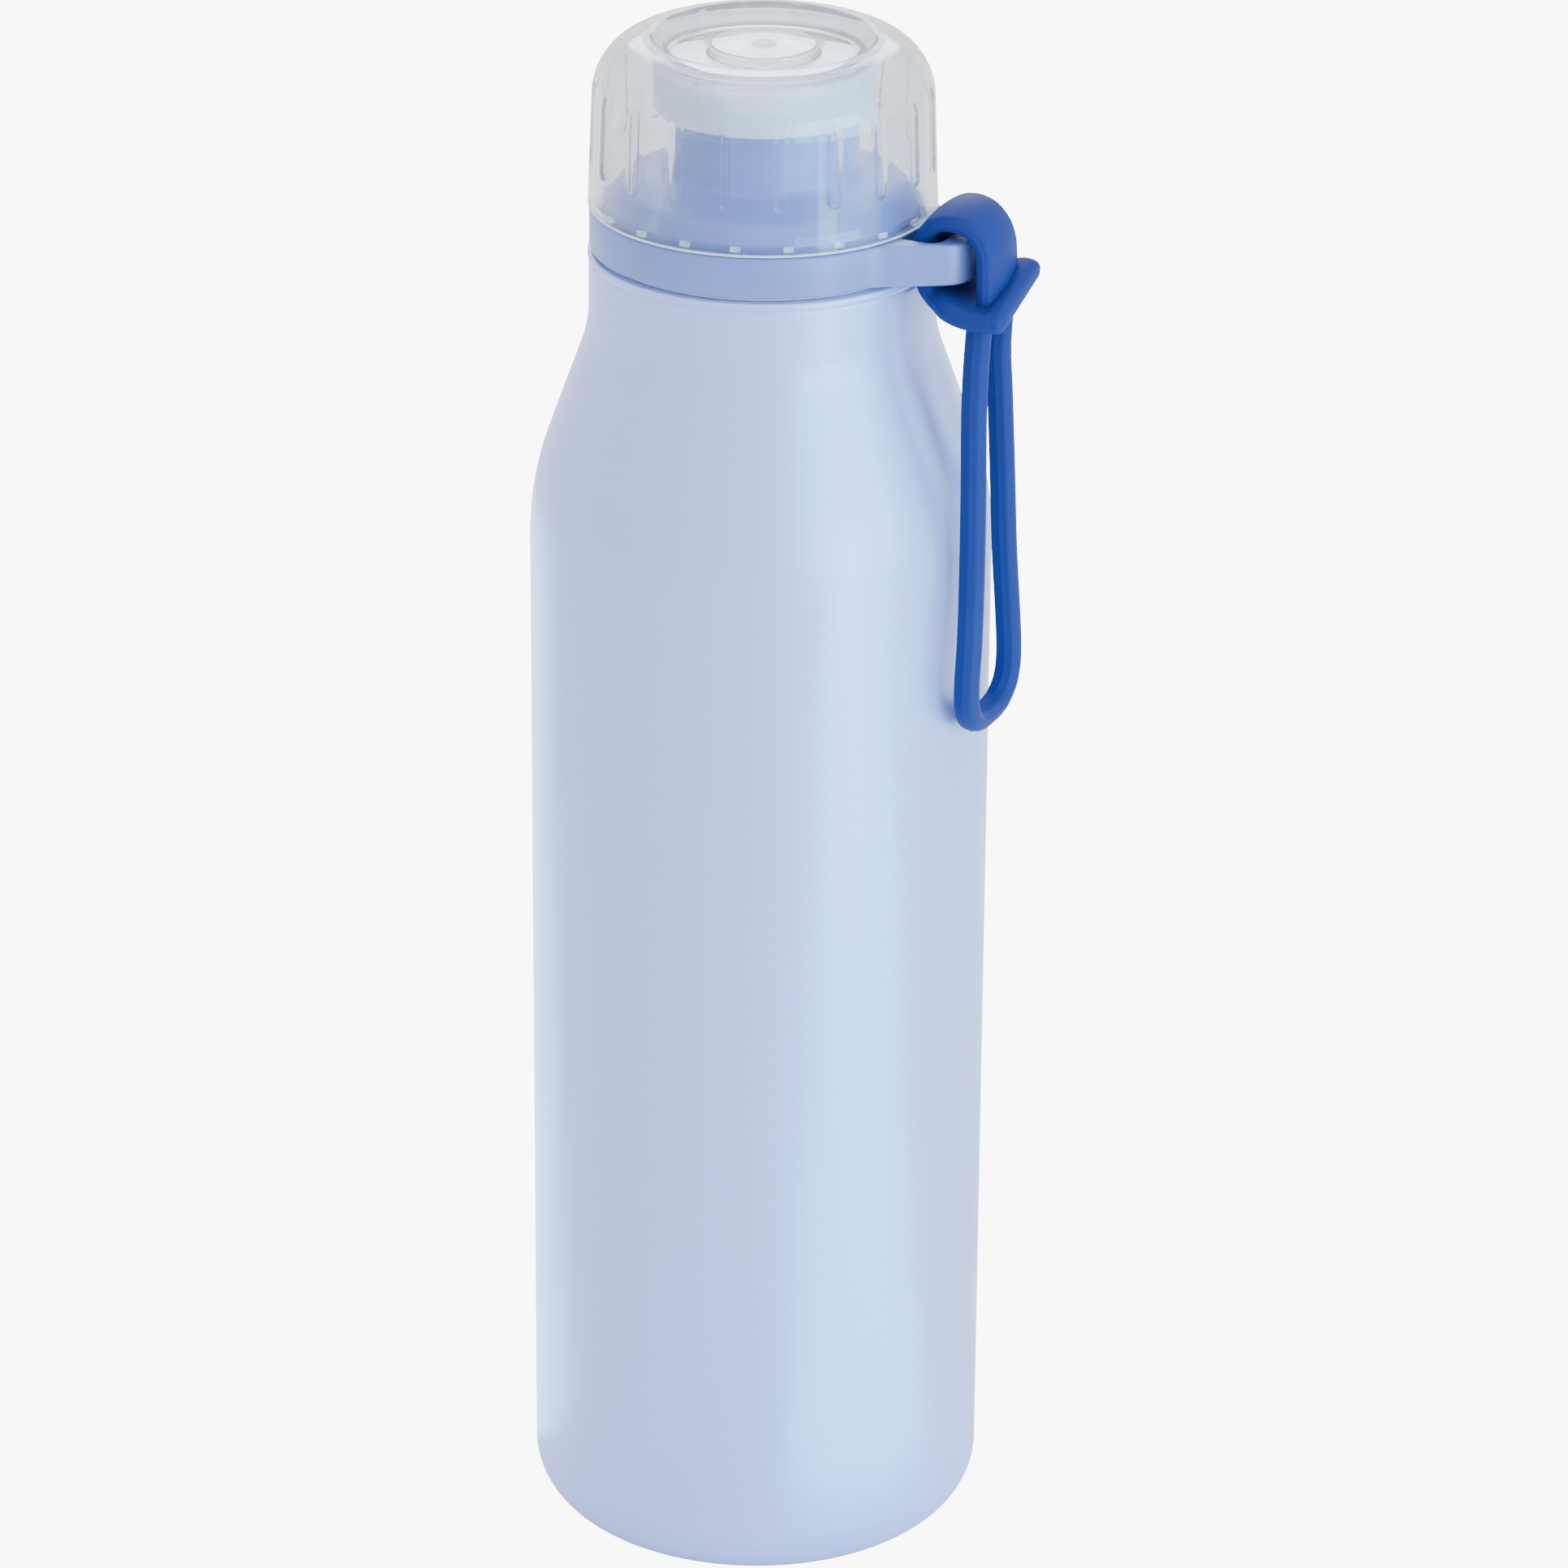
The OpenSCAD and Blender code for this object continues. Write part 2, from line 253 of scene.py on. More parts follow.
# The thread: a rounded bead that climbs round the axis, several starts, made as nodes.
thread_tree = bpy.data.node_groups.new("thread", "GeometryNodeTree")
sockets = thread_tree.interface
sockets.new_socket("Geometry", in_out="INPUT", socket_type="NodeSocketGeometry")
for label, kind in (("Radius", "Float"), ("Turns", "Float"), ("Rise", "Float"), ("Height", "Float"),
                    ("Phase", "Float"), ("Starts", "Int"), ("Bead", "Float"), ("Finish", "Material")):
    sockets.new_socket(label, in_out="INPUT", socket_type="NodeSocket" + kind)
sockets.new_socket("Geometry", in_out="OUTPUT", socket_type="NodeSocketGeometry")
given = thread_tree.nodes.new("NodeGroupInput")
made = thread_tree.nodes.new("NodeGroupOutput")
wire = thread_tree.links.new
helix = thread_tree.nodes.new("GeometryNodeCurveSpiral")
helix.inputs["Resolution"].default_value = 128
helix.inputs["Reverse"].default_value = True
wire(given.outputs["Turns"], helix.inputs["Rotations"])
wire(given.outputs["Radius"], helix.inputs["Start Radius"])
wire(given.outputs["Radius"], helix.inputs["End Radius"])
wire(given.outputs["Rise"], helix.inputs["Height"])
upright = thread_tree.nodes.new("GeometryNodeSetCurveNormal")
upright.mode = "Z_UP"
wire(helix.outputs["Curve"], upright.inputs["Curve"])
bead_circle = thread_tree.nodes.new("GeometryNodeCurvePrimitiveCircle")
bead_circle.inputs["Resolution"].default_value = 12
wire(given.outputs["Bead"], bead_circle.inputs["Radius"])
bead_skin = thread_tree.nodes.new("GeometryNodeCurveToMesh")
bead_skin.inputs["Fill Caps"].default_value = True
wire(upright.outputs["Curve"], bead_skin.inputs["Curve"])
wire(bead_circle.outputs["Curve"], bead_skin.inputs["Profile Curve"])
all_beads = thread_tree.nodes.new("GeometryNodeDuplicateElements")
all_beads.domain = "INSTANCE"
one_bead = thread_tree.nodes.new("GeometryNodeGeometryToInstance")
wire(bead_skin.outputs["Mesh"], one_bead.inputs[0])
wire(one_bead.outputs[0], all_beads.inputs["Geometry"])
wire(given.outputs["Starts"], all_beads.inputs["Amount"])
start_angle = add_node(thread_tree, "ShaderNodeMath", operation="DIVIDE", i0=2 * math.pi)
wire(given.outputs["Starts"], start_angle.inputs[1])
own_angle = add_node(thread_tree, "ShaderNodeMath", operation="MULTIPLY")
wire(all_beads.outputs["Duplicate Index"], own_angle.inputs[0])
wire(start_angle.outputs[0], own_angle.inputs[1])
turned_angle = add_node(thread_tree, "ShaderNodeMath", operation="ADD")
wire(own_angle.outputs[0], turned_angle.inputs[0])
wire(given.outputs["Phase"], turned_angle.inputs[1])
turn_by = thread_tree.nodes.new("ShaderNodeCombineXYZ")
wire(turned_angle.outputs[0], turn_by.inputs["Z"])
turned = thread_tree.nodes.new("GeometryNodeRotateInstances")
turned.inputs["Local Space"].default_value = False
wire(all_beads.outputs["Geometry"], turned.inputs["Instances"])
wire(turn_by.outputs[0], turned.inputs["Rotation"])
lifted = thread_tree.nodes.new("GeometryNodeTranslateInstances")
lifted.inputs["Local Space"].default_value = False
lift_by = thread_tree.nodes.new("ShaderNodeCombineXYZ")
wire(given.outputs["Height"], lift_by.inputs["Z"])
wire(turned.outputs[0], lifted.inputs["Instances"])
wire(lift_by.outputs[0], lifted.inputs["Translation"])
plain_beads = thread_tree.nodes.new("GeometryNodeRealizeInstances")
wire(lifted.outputs[0], plain_beads.inputs[0])
smooth_beads = thread_tree.nodes.new("GeometryNodeSetShadeSmooth")
wire(plain_beads.outputs[0], smooth_beads.inputs["Geometry"])
with_piece = thread_tree.nodes.new("GeometryNodeJoinGeometry")
wire(smooth_beads.outputs[0], with_piece.inputs[0])
wire(given.outputs["Geometry"], with_piece.inputs[0])
finished = thread_tree.nodes.new("GeometryNodeSetMaterial")
wire(with_piece.outputs[0], finished.inputs["Geometry"])
wire(given.outputs["Finish"], finished.inputs["Material"])
wire(finished.outputs[0], made.inputs["Geometry"])


def with_thread(thing, finish, **sizes):
    """The piece with a thread grown on it, as a plain mesh."""
    modifier = thing.modifiers.new("thread", "NODES")
    modifier.node_group = thread_tree
    for socket in thread_tree.interface.items_tree:
        if socket.in_out == "INPUT" and socket.name in sizes:
            modifier[socket.identifier] = sizes[socket.name]
        if socket.in_out == "INPUT" and socket.name == "Finish":
            modifier[socket.identifier] = finish
    seen = thing.evaluated_get(bpy.context.evaluated_depsgraph_get())
    solid = bpy.data.meshes.new_from_object(seen)
    thing.modifiers.remove(modifier)
    solid.materials.clear()
    solid.materials.append(finish)
    thing.data = solid
    return thing


def noise(tree, stretch=None, **values):
    """A noise in the piece's own space, squeezed along each axis by stretch where one is given."""
    place = add_node(tree, "ShaderNodeTexCoord")
    source = place.outputs["Object"]
    if stretch:
        squeezed = add_node(tree, "ShaderNodeMapping", Scale=stretch)
        tree.links.new(source, squeezed.inputs["Vector"])
        source = squeezed.outputs[0]
    texture = add_node(tree, "ShaderNodeTexNoise", **values)
    tree.links.new(source, texture.inputs["Vector"])
    return texture.outputs["Fac"]


def colour_by(tree, shader, pattern, dark, light, start=0.0, end=1.0):
    """The shader's colour runs from dark to light while the pattern runs from start to end."""
    ramp = add_node(tree, "ShaderNodeValToRGB")
    low, high = ramp.color_ramp.elements
    low.position, high.position = start, end
    low.color, high.color = (*dark, 1), (*light, 1)
    tree.links.new(pattern, ramp.inputs["Fac"])
    tree.links.new(ramp.outputs["Color"], shader.inputs["Base Color"])


def roughness_by(tree, shader, pattern, low, high):
    """The shader's roughness runs from low to high with the pattern."""
    spread = add_node(tree, "ShaderNodeMapRange", i3=low, i4=high)
    tree.links.new(pattern, spread.inputs[0])
    tree.links.new(spread.outputs[0], shader.inputs["Roughness"])


def relief_by(tree, shader, pattern, strength, distance):
    """The pattern stands out from the surface, by distance in metres."""
    bump = add_node(tree, "ShaderNodeBump", Strength=strength, Distance=distance)
    tree.links.new(pattern, bump.inputs["Height"])
    tree.links.new(bump.outputs[0], shader.inputs["Normal"])


lacquer = bpy.data.materials.new("blue_lacquer_on_brushed_metal")
lacquer_tree, lacquer_shader = start_finish(lacquer)
brushing = noise(lacquer_tree, (14, 14, 5200), Scale=1.0, Detail=5.0, Roughness=0.7)
patches = noise(lacquer_tree, Scale=38.0, Detail=3.0, Roughness=0.5)
colour_by(lacquer_tree, lacquer_shader, brushing, (0.345, 0.450, 0.955), (0.370, 0.480, 0.985), 0.30, 0.72)
roughness_by(lacquer_tree, lacquer_shader, patches, 0.30, 0.40)
relief_by(lacquer_tree, lacquer_shader, brushing, 0.06, 0.00005)
lacquer_shader.inputs["Metallic"].default_value = 0.35
lacquer_shader.inputs["Coat Weight"].default_value = 0.35
lacquer_shader.inputs["Coat Roughness"].default_value = 0.22

foot_line = [(0, 4.5, 0), (9, 4.0, 12), (16.5, 2.4, 12), (21.6, 0.9, 4), (24.2, 0, 1.6)]
shoulder = arc(-13.5, 170, 50, 0, 19.6, 24)
waist = arc(48.1, 208.64, 21, 199.6, 180.6, 20)
outside = plain(arc(27.1, 9.4, 9.4, -90, 0, 20) + shoulder + waist[:-1])
outside += [(27.1, 215.7, 1.0), (26.9, 216.25, 0.35), (27.25, 216.6, 0.3), (27.25, 217.6, 0.45)]
throat = plain(arc(48.1, 208.64, 22.5, 183, 199.6, 12))
inside = [(24.6, 217.6, 0.8), (24.6, 207.0, 0.3)] + throat
inside += plain(arc(-13.5, 170, 49, 19.6, 0, 16) + arc(27.1, 9.4, 8.4, 0, -80, 10))
inside += [(24.2, 1.3, 1), (21.2, 2.2, 3), (16.5, 3.6, 8), (9, 5.1, 8), (0, 5.6, 0)]
bottle = lathe("bottle_shell", outline(foot_line + outside + inside), [360 * i / 256 for i in range(256)])
bottle = with_thread(bottle, lacquer, Radius=25.0 * mm, Turns=100 / 360, Rise=3.333 * mm,
                     Height=210.0 * mm, Phase=0.0, Starts=3, Bead=1.0 * mm)

# Inside, from just under the lip, the metal is left bare and shows the marks of the drawing punch.
lining = bpy.data.materials.new("bare_drawn_metal")
lining_tree, lining_shader = start_finish(lining)
punch_marks = noise(lining_tree, (900, 900, 9), Scale=1.0, Detail=4.0)
colour_by(lining_tree, lining_shader, punch_marks, (0.62, 0.63, 0.64), (0.78, 0.79, 0.80))
roughness_by(lining_tree, lining_shader, punch_marks, 0.28, 0.46)
lining_shader.inputs["Metallic"].default_value = 1.0
bottle.data.materials.append(lining)
base_z, bottom_z, thread_z, thread_r, lip_z = 6, 10, 208, 24.7, 216.8
for polygon in bottle.data.polygons:
    x, y, z = polygon.center / mm
    towards_axis = polygon.normal.x * x + polygon.normal.y * y < 0
    side = towards_axis and (z > base_z or polygon.normal.z > 0)
    bottom = z < bottom_z and polygon.normal.z > 0.2
    threads = z > thread_z and math.hypot(x, y) < thread_r
    polygon.material_index = int(z < lip_z and (side or bottom or threads))
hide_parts("bottle_body")
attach(bottle, "bottle")

# ---- neck_gasket
# A flat ring of white silicone, stamped from sheet, pinched between the neck's lip and the lid's flange.
silicone = bpy.data.materials.new("white_silicone")
silicone_tree, silicone_shader = start_finish(silicone)
cloud = noise(silicone_tree, Scale=240.0, Detail=4.0)
colour_by(silicone_tree, silicone_shader, cloud, (0.84, 0.88, 0.93), (0.90, 0.93, 0.97))
matt_skin = noise(silicone_tree, Scale=2600.0, Detail=3.0)
relief_by(silicone_tree, silicone_shader, matt_skin, 0.12, 0.00004)
silicone_shader.inputs["Roughness"].default_value = 0.52
silicone_shader.inputs["Subsurface Weight"].default_value = 0.25
silicone_shader.inputs["Subsurface Radius"].default_value = (0.001, 0.001, 0.001)
silicone_shader.inputs["Subsurface Scale"].default_value = 1.0

gasket = lathe("neck_seal", outline([(23.7, 217.65, 0.15), (25.7, 217.65, 0.15), (25.7, 218.35, 0.15),
                                     (23.7, 218.35, 0.15)]))
gasket.data.materials.append(silicone)
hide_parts("neck_gasket")
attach(gasket, "gasket")

# ---- threaded_plug
# The lower half of the lid, moulded in blue-violet polypropylene. Its skirt screws into the neck, its
# flange presses the gasket, and the spigot on top holds the spout.
plastic = bpy.data.materials.new("satin_violet_plastic")
plastic_tree, plastic_shader = start_finish(plastic)
flow = noise(plastic_tree, Scale=60.0, Detail=3.0, Distortion=0.6)
grain = noise(plastic_tree, Scale=3200.0, Detail=2.0, Roughness=0.6)
colour_by(plastic_tree, plastic_shader, flow, (0.115, 0.176, 0.518), (0.130, 0.194, 0.548), 0.35, 0.65)
roughness_by(plastic_tree, plastic_shader, flow, 0.36, 0.46)
relief_by(plastic_tree, plastic_shader, grain, 0.22, 0.00004)
plastic_shader.inputs["Subsurface Weight"].default_value = 0.08
plastic_shader.inputs["Subsurface Radius"].default_value = (0.001, 0.001, 0.0014)
plastic_shader.inputs["Subsurface Scale"].default_value = 1.0
plastic_shader.inputs["Coat Weight"].default_value = 0.3
plastic_shader.inputs["Coat Roughness"].default_value = 0.2

plug = lathe("lid_plug", outline([
    (21.7, 206.5, 0.4), (23.3, 206.5, 0.6), (23.3, 218.4, 0.2), (25.8, 218.4, 0.3), (25.8, 219.8, 0.2),
    (20.3, 219.8, 0.1), (20.3, 224.0, 0.4), (18.8, 224.0, 0.3), (18.8, 218.6, 0.5), (21.7, 217.6, 0.8)]))
plug = with_thread(plug, plastic, Radius=23.45 * mm, Turns=100 / 360, Rise=3.333 * mm,
                   Height=212.0 * mm, Phase=0.0, Starts=3, Bead=0.9 * mm)
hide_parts("threaded_plug")
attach(plug, "lid")

# ---- spout
# The upper half of the lid: a shallow dome with a step round its foot and a wide drinking spout with a
# rounded rim. It is pushed down over the plug's spigot and keeps the collar on.
dome = [(20.4, 219.9, 0.2), (22.4, 219.9, 0.2), (22.4, 223.8, 0), (24.3, 223.8, 0.2), (24.3, 226.3, 0.5),
        (22.4, 228.7, 2.5), (17.2, 230.2, 4.0), (14.9, 230.9, 1.6)]
rim = [(14.8, 245.4, 0.85), (13.05, 245.4, 0.85), (13.05, 229.8, 1.5), (18.6, 227.9, 2.0),
       (20.4, 226.2, 0.8)]
spout = lathe("spout_dome", outline(dome + rim, 8))
spout = with_thread(spout, plastic, Radius=14.9 * mm, Turns=80 / 360, Rise=2.0 * mm,
                    Height=241.0 * mm, Phase=math.radians(30), Starts=3, Bead=0.65 * mm)
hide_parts("spout", "lid_dome")
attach(spout, "lid")

# ---- carry_collar
# A ring of the same satin plastic, loose between the plug's flange and the spout, with a lug on one side.
# The lug is a rounded loop of about 4 mm bar; the strap is hitched round its outer side.
collar_low, collar_high = 218.2, 224.8
ring_r, bore_r, lug_tip = 27.0, 24.6, 36.4
slot_half, slot_outer_x, slot_inner_x, slot_wall_r = 5.9, 32.2, 26.0, 26.2
half_height = (collar_high - collar_low) / 2
soft_edge = 0.55
slope = math.radians(30.1)
knee = Vector((33.8, -6.3))
along = Vector((math.cos(slope), math.sin(slope)))
outward = Vector((along.y, -along.x))
hollow = 8.0
offset = outward.dot(knee) + hollow
middle = outward * offset + along * math.sqrt((ring_r + hollow) ** 2 - offset ** 2)
first = math.degrees(math.atan2(-middle.y, -middle.x))
last = math.degrees(math.atan2(-outward.y, -outward.x))
nose = (lug_tip - knee.x) / (1 - math.sin(slope))
nose_centre = knee + Vector((-along.y, along.x)) * nose
lug = arc(middle.x, middle.y, hollow, first, last, 8)
lug += arc(nose_centre.x, nose_centre.y, nose, -59.9, 0, 12)
lug += [(x, -y) for x, y in reversed(lug)]
edge_angle = math.degrees(math.atan2(-lug[0][1], lug[0][0]))
ring_line = arc(0, 0, ring_r, edge_angle, 360 - edge_angle, 180)[1:-1]
slot = [(slot_outer_x, -slot_half, 2.0), (slot_outer_x, slot_half, 2.0), (slot_inner_x, slot_half, 0),
        (slot_inner_x, -slot_half, 0)]
slot_line = [point for point in outline(slot, 8) if point[0] > slot_inner_x + 0.1]
wall_edge = math.degrees(math.asin(slot_half / slot_wall_r))
slot_line += arc(0, 0, slot_wall_r, wall_edge, -wall_edge, 12)

plate = bpy.data.curves.new("collar_shape", "CURVE")
plate.dimensions = "2D"
plate.fill_mode = "BOTH"
plate.extrude = (half_height - soft_edge) * mm
plate.bevel_depth = soft_edge * mm
plate.offset = -soft_edge * mm
plate.bevel_resolution = 4
for line in (lug + ring_line, slot_line, arc(0, 0, bore_r, 0, 358, 179)):
    spline = plate.splines.new("POLY")
    spline.points.add(len(line) - 1)
    for point, (x, y) in zip(spline.points, line):
        point.co = (x * mm, y * mm, 0, 1)
    spline.use_cyclic_u = True
plate_object = bpy.data.objects.new("collar_shape", plate)
bpy.context.scene.collection.objects.link(plate_object)
seen = plate_object.evaluated_get(bpy.context.evaluated_depsgraph_get())
collar_mesh = bpy.data.meshes.new_from_object(seen)
bpy.data.objects.remove(plate_object)
collar_mesh.transform(Matrix.Translation((0, 0, (collar_low + half_height) * mm)))
skin = bmesh.new()
skin.from_mesh(collar_mesh)
bmesh.ops.remove_doubles(skin, verts=skin.verts, dist=1e-6)
bmesh.ops.recalc_face_normals(skin, faces=skin.faces)
skin.to_mesh(collar_mesh)
skin.free()
collar = put_in_scene("swivel_collar", collar_mesh)
# The web inside the ring catches under the lid's step, and the cutter makes room for the plug's flange.
web = lathe("collar_web", outline([(22.48, 220.0, 0.2), (24.9, 220.0, 0.1), (24.9, 223.6, 0.1),
                                   (22.48, 223.6, 0.2)]))
cutter = lathe("collar_cutter", [(20, 217), (26.0, 217), (26.0, 220.0), (20, 220.0)])


def combine(thing, other, operation):
    """Joins another closed solid to the piece, or takes it away, and leaves a plain mesh."""
    modifier = thing.modifiers.new("solid", "BOOLEAN")
    modifier.operation = operation
    modifier.solver = "EXACT"
    modifier.object = other
    seen = thing.evaluated_get(bpy.context.evaluated_depsgraph_get())
    solid = bpy.data.meshes.new_from_object(seen)
    thing.modifiers.remove(modifier)
    thing.data = solid
    bpy.data.objects.remove(other)


combine(collar, cutter, "DIFFERENCE")
combine(collar, web, "UNION")
collar.data.shade_smooth()
collar.data.set_sharp_from_angle(angle=math.radians(32))
collar.data.materials.clear()
collar.data.materials.append(plastic)
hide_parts("carry_collar")
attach(collar, "collar")

# ---- clear_cap
# An overcap moulded in clear copolyester: a tapered cup with upright grip flutes and a dished top with a
# raised boss. A threaded sleeve inside it screws over the spout, and small lugs sit inside the rim.
clear = bpy.data.materials.new("clear_plastic")
clear_tree, clear_shader = start_finish(clear)
ripple = noise(clear_tree, Scale=90.0, Detail=2.0)
roughness_by(clear_tree, clear_shader, ripple, 0.015, 0.05)
relief_by(clear_tree, clear_shader, ripple, 0.05, 0.0002)
clear_shader.inputs["Base Color"].default_value = (0.868, 0.912, 0.968, 1)
clear_shader.inputs["Transmission Weight"].default_value = 1.0
clear_shader.inputs["IOR"].default_value = 1.49
wire = clear_tree.links.new
see_through = add_node(clear_tree, "ShaderNodeBsdfTransparent")
see_through.inputs["Color"].default_value = (0.96, 0.975, 0.99, 1)
path = add_node(clear_tree, "ShaderNodeLightPath")
straight_share = add_node(clear_tree, "ShaderNodeMath", operation="MAXIMUM", i1=0.10)
wire(path.outputs["Is Shadow Ray"], straight_share.inputs[0])
choice = add_node(clear_tree, "ShaderNodeMixShader")
wire(straight_share.outputs[0], choice.inputs["Fac"])
wire(clear_shader.outputs[0], choice.inputs[1])
wire(see_through.outputs[0], choice.inputs[2])
wire(choice.outputs[0], clear_tree.nodes["Material Output"].inputs["Surface"])

# The rim, the lugs inside it and the threaded sleeve are satin and less see-through; their near-white
# colour is a painted highlight for the white bands of light they catch.
satin_painted_highlight = bpy.data.materials.new("clear_plastic_painted_highlight")
satin_painted_highlight_tree, satin_painted_highlight_shader = start_finish(satin_painted_highlight)
mottle_in_painted_highlight = noise(satin_painted_highlight_tree, Scale=420.0, Detail=3.0)
# The near-white colour here is a painted highlight, mottled a little.
colour_by(satin_painted_highlight_tree, satin_painted_highlight_shader, mottle_in_painted_highlight, (0.80, 0.88, 0.98), (0.88, 0.94, 1.0))
roughness_by(satin_painted_highlight_tree, satin_painted_highlight_shader, mottle_in_painted_highlight, 0.22, 0.38)
satin_painted_highlight_shader.inputs["Transmission Weight"].default_value = 0.35
satin_painted_highlight_shader.inputs["IOR"].default_value = 1.49


def heights(start, end, step):
    """Heights from start to end, both included, about step apart."""
    count = max(1, round(abs(end - start) / step))
    return [start + (end - start) * i / count for i in range(count + 1)]


def rounded_shoulder(centre_r, centre_z, across, up, start, end, steps):
    """Points along a quarter of an ellipse."""
    angles = [math.radians(start + (end - start) * i / steps) for i in range(steps + 1)]
    return [(centre_r + across * math.cos(angle), centre_z + up * math.sin(angle)) for angle in angles]


rim_z, shoulder_z = 225.0, 242.4
foot_r, shoulder_r, wall = 27.2, 26.55, 1.6
dish_r, shoulder_across, shoulder_up = 17.4, 9.15, 9.5
sleeve_bore, sleeve_outer, sleeve_low, sleeve_top = 15.8, 16.8, 240.5, 246.5
taper = (foot_r - shoulder_r) / (shoulder_z - rim_z)
cap_outer = [(foot_r - taper * (z - rim_z), z) for z in [rim_z + 0.35] + heights(226.5, 231.4, 1.5)]
cap_outer += [(foot_r - taper * (z - rim_z), z) for z in heights(231.7, 233.4, 0.2)]
cap_outer += [(foot_r - taper * (z - rim_z), z) for z in heights(234.2, shoulder_z - 0.6, 1.2)]
cap_outer += rounded_shoulder(dish_r, shoulder_z, shoulder_across, shoulder_up, 0, 88, 34)
dish = plain(cap_outer) + [(17.0, 251.7, 1.6), (14.9, 249.2, 2.0), (8.8, 249.2, 0.4), (8.2, 250.7, 0.5),
                           (1.9, 250.7, 0.3), (1.2, 250.1, 0.4), (0, 250.1, 0)]
roof = [(0, 247.4, 0), (sleeve_bore, 247.4, 0.3)]
sleeve = plain([(sleeve_bore, z) for z in heights(246.0, 241.1, 0.2)])
sleeve += [(sleeve_bore, sleeve_low, 0.25), (sleeve_outer, sleeve_low, 0.25), (sleeve_outer, 248.6, 0.6)]
under = plain(rounded_shoulder(dish_r, shoulder_z, shoulder_across - wall, shoulder_up - wall, 82, 0, 16))
inner = plain([(foot_r - wall - taper * (z - rim_z), z) for z in (240.0, 234.0, 228.0, 226.5)])
lug_walls = plain([(foot_r - wall, z) for z in (226.32, 226.28, 225.52, 225.48)])
foot = [(foot_r - wall, rim_z, 0.15)]
close = [(foot_r - 0.02, rim_z, 0.3)]
profile = outline(dish + roof + sleeve + under + inner + lug_walls + foot + close, 5)

flute_at, lug_at, pitch = 13.4, 16.0, 18.0
flute_half, flute_deep, flute_edge, flute_r = 1.3, 0.32, 0.75, 26.9
flute_low, flute_high = 233.0, 244.2
lug_half, lug_deep = 0.75, 0.5
thread_angle, thread_from, thread_span, thread_end = 30, 242.5, 80, 8
thread_lead, thread_half = 9.0, 0.7
stations = set()
for i in range(20):
    for step_mm in (-1.3, -1.15, -1.0, -0.85, -0.7, -0.55, 0, 0.55, 0.7, 0.85, 1.0, 1.15, 1.3):
        stations.add(round((flute_at + pitch * i + math.degrees(step_mm / flute_r)) % 360, 4))
    for step_mm in (-0.77, -0.73, 0, 0.73, 0.77):
        stations.add(round((lug_at + pitch * i + math.degrees(step_mm / (foot_r - wall))) % 360, 4))
    for extra in (1, 3, 5, 7, 9.5):
        stations.add(round((flute_at + pitch * i + 4.5 + extra) % 360, 4))
stations = sorted(stations)
outer_points = len(cap_outer)


def cap_shift(i, radius, height, degrees):
    """The flutes sunk into the outside, the lugs inside the rim, and the thread inside the sleeve."""
    if radius > 20 and i < outer_points:
        off = ((degrees - flute_at + pitch / 2) % pitch - pitch / 2) * math.pi / 180 * flute_r
        beyond = max(0, flute_low - height, height - flute_high)
        spread = math.hypot(off, beyond)
        if spread < flute_half:
            inward = min(1, (flute_half - spread) / flute_edge)
            return radius - flute_deep * inward * inward * (3 - 2 * inward)
    if abs(radius - (foot_r - wall)) < 0.001 and rim_z + 0.5 < height < rim_z + 1.3:
        off = ((degrees - lug_at + pitch / 2) % pitch - pitch / 2) * math.pi / 180 * (foot_r - wall)
        if abs(off) < lug_half:
            return radius - lug_deep
    if abs(radius - sleeve_bore) < 0.001 and sleeve_low + 0.4 < height < sleeve_top:
        turned = (degrees - thread_angle) % 120
        if turned < thread_span:
            off = abs(height - (thread_from + thread_lead * turned / 360))
            ends = min(1, turned / thread_end, (thread_span - turned) / thread_end)
            return radius - thread_half * ends * max(0, 1 - (off / thread_half) ** 2)
    return radius


cap = lathe("clear_overcap", profile, stations, cap_shift, edge=28)
cap.data.materials.append(clear)
cap.data.materials.append(satin_painted_highlight)
# The painted highlight (the near-white satin finish) goes on the rim, the lugs inside it and the threaded
# sleeve.
for polygon in cap.data.polygons:
    x, y, z = polygon.center / mm
    across = math.hypot(x, y)
    on_lug = z < rim_z + 1.4 and across < foot_r - wall - 0.1
    on_sleeve = sleeve_bore - 0.8 < across < sleeve_outer + 0.4 and sleeve_low - 0.1 < z < sleeve_top
    if z < rim_z + 0.3 or on_lug or on_sleeve:
        polygon.material_index = 1
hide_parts("clear_cap")
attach(cap, "cap")

# ---- cap_seal
# A soft white silicone disc seated in the roof of the cap's sleeve, which closes the spout's rim.
seal_line = [(0, 245.5, 0), (12.4, 245.5, 0.2), (12.7, 245.75, 0.2), (14.3, 245.75, 0.2),
             (14.95, 245.5, 0.3), (14.95, 247.3, 0.3), (0, 247.3, 0)]
seal = lathe("spout_seal", outline(seal_line))
seal.data.materials.append(silicone)
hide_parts("cap_seal")
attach(seal, "seal")

# ---- carry_strap
# One moulding of deep blue silicone, with a fine parting ridge along its sides. A flat band wraps the lug's
# bar, ends in an eye under the slot, and its other end drops through that eye and hangs as a narrow loop.
rubber = bpy.data.materials.new("blue_silicone")
rubber_tree, rubber_shader = start_finish(rubber)
bloom = noise(rubber_tree, Scale=85.0, Detail=4.0, Roughness=0.55)
powder = noise(rubber_tree, Scale=2400.0, Detail=3.0, Roughness=0.6)
colour_by(rubber_tree, rubber_shader, bloom, (0.0056, 0.0212, 0.160), (0.0072, 0.0252, 0.182), 0.30, 0.72)
roughness_by(rubber_tree, rubber_shader, bloom, 0.50, 0.62)
relief_by(rubber_tree, rubber_shader, powder, 0.18, 0.00005)
rubber_shader.inputs["Specular IOR Level"].default_value = 0.14


